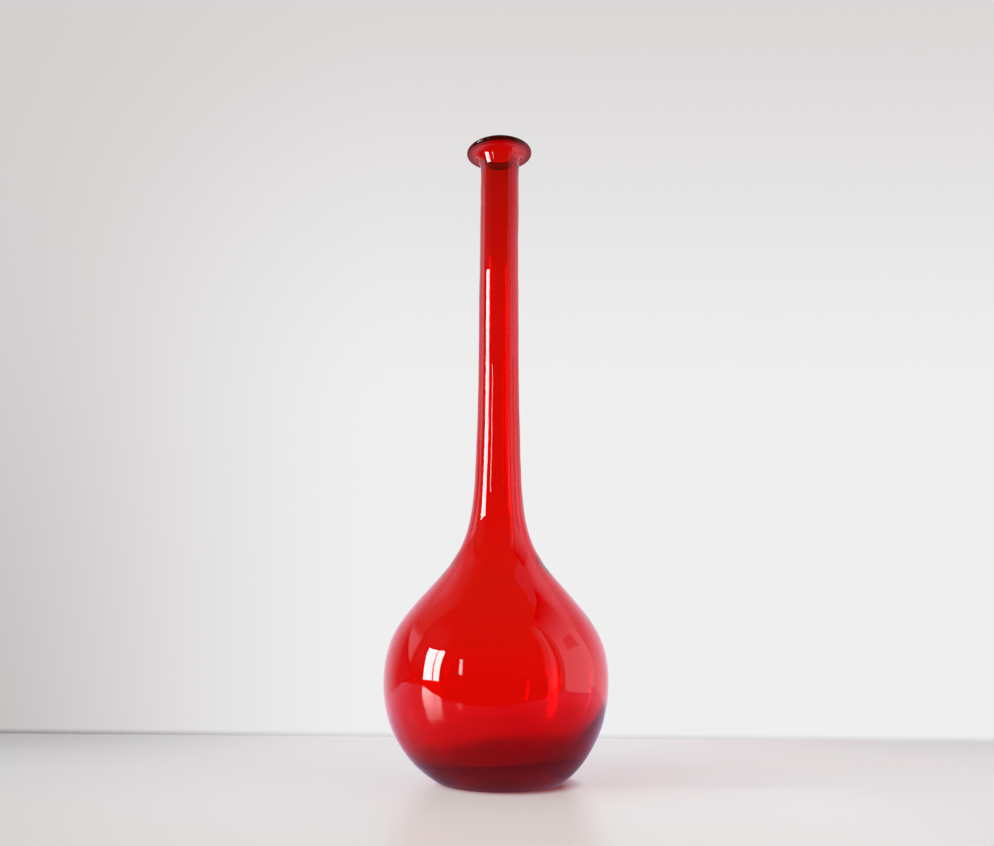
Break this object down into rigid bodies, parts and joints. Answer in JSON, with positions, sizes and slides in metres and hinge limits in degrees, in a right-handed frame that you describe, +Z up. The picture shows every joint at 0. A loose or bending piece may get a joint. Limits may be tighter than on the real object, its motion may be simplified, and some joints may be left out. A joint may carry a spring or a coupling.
{
  "type": "glass bottle",
  "caption": "Tall blown glass bottle with a round bulb, a long narrow neck and a flared lip, open at the top, standing on a flat ground foot.",
  "frame": {"origin": "centre of the ground foot, on the surface that the bottle stands on", "axes": "+Z up along the bottle's axis of revolution, out of the mouth; +X to the right and +Y away from the viewer in the picture"},
  "size_m": [0.132, 0.132, 0.4],
  "materials": {
    "ruby_glass": "fire-polished, clear and coloured red in the mass, with a ground and polished foot"
  },
  "bodies": {
    "root": {"bottle": "ruby_glass"}
  },
  "joints": []
}
